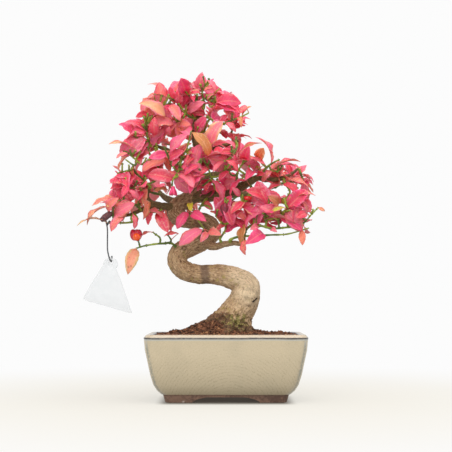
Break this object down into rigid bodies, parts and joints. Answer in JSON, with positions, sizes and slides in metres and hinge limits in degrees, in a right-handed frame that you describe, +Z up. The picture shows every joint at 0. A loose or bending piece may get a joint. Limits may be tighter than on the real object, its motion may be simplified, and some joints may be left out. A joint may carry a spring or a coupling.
{
  "type": "euonymus bonsai",
  "caption": "Euonymus bonsai about 32 cm tall in pink and red autumn leaf, with an S-bent trunk in a cream glazed rectangular pot, and a blank tag on a wire.",
  "frame": {"origin": "on the surface that the pot's feet stand on, under the middle of the whole object", "axes": "+Z up, +X to the right as seen from the front of the tree, and the front towards -Y"},
  "size_m": [0.243, 0.1556, 0.3249],
  "materials": {
    "glazed_pot": "cream glaze with fine crazing, over red clay feet",
    "soil": "damp reddish-brown fired clay grains",
    "bark": "pale tan bark, smooth with fine ridges and scars",
    "leaf_pink": "thin satin autumn leaf, pink",
    "leaf_red": "thin satin autumn leaf, red",
    "leaf_salmon": "thin satin autumn leaf, salmon to orange",
    "capsule": "waxy crimson seed capsule",
    "aril": "glossy orange seed coat",
    "pod": "dry wrinkled dark pod",
    "tag": "thin translucent white plastic, blank",
    "wire": "thin dark coated wire",
    "screen": "dark moulded plastic mesh"
  },
  "bodies": {
    "root": {"pot": "glazed_pot", "soil": "soil", "trunk": "bark", "screen_left": "screen", "screen_right": "screen", "tag": "tag", "tag_wire": "wire", "capsule_open": "capsule", "capsule_open_aril": "aril", "capsule_pink": "capsule", "capsule_dark": "capsule", "aril_right": "aril", "pod_dry": "pod", "spray_apex": "leaf_pink", "spray_apex_left": "leaf_salmon", "spray_apex_right": "leaf_pink", "spray_left_upper": "leaf_pink", "spray_left_middle": "leaf_salmon", "spray_left": "leaf_red", "spray_left_low": "leaf_salmon", "spray_left_tip": "leaf_salmon", "spray_bottom_left": "leaf_salmon", "spray_trunk_left": "leaf_red", "spray_trunk_front": "leaf_pink", "spray_centre_left": "leaf_pink", "spray_centre": "leaf_pink", "spray_centre_right": "leaf_red", "spray_right_upper": "leaf_pink", "spray_right_end": "leaf_salmon", "spray_right": "leaf_red", "spray_right_inner": "leaf_red", "spray_right_low": "leaf_pink", "spray_bottom_right": "leaf_pink", "spray_centre_low": "leaf_red", "spray_back_left_low": "leaf_pink", "spray_back_left": "leaf_red", "spray_back_middle": "leaf_pink", "spray_back_right": "leaf_salmon", "spray_back_right_low": "leaf_red", "spray_right_side": "leaf_pink", "spray_back_upper_left": "leaf_salmon", "spray_back_top": "leaf_pink", "spray_back_upper_right": "leaf_red", "spray_left_side": "leaf_pink", "spray_back_low": "leaf_salmon", "spray_left_upper_back": "leaf_red"}
  },
  "joints": []
}
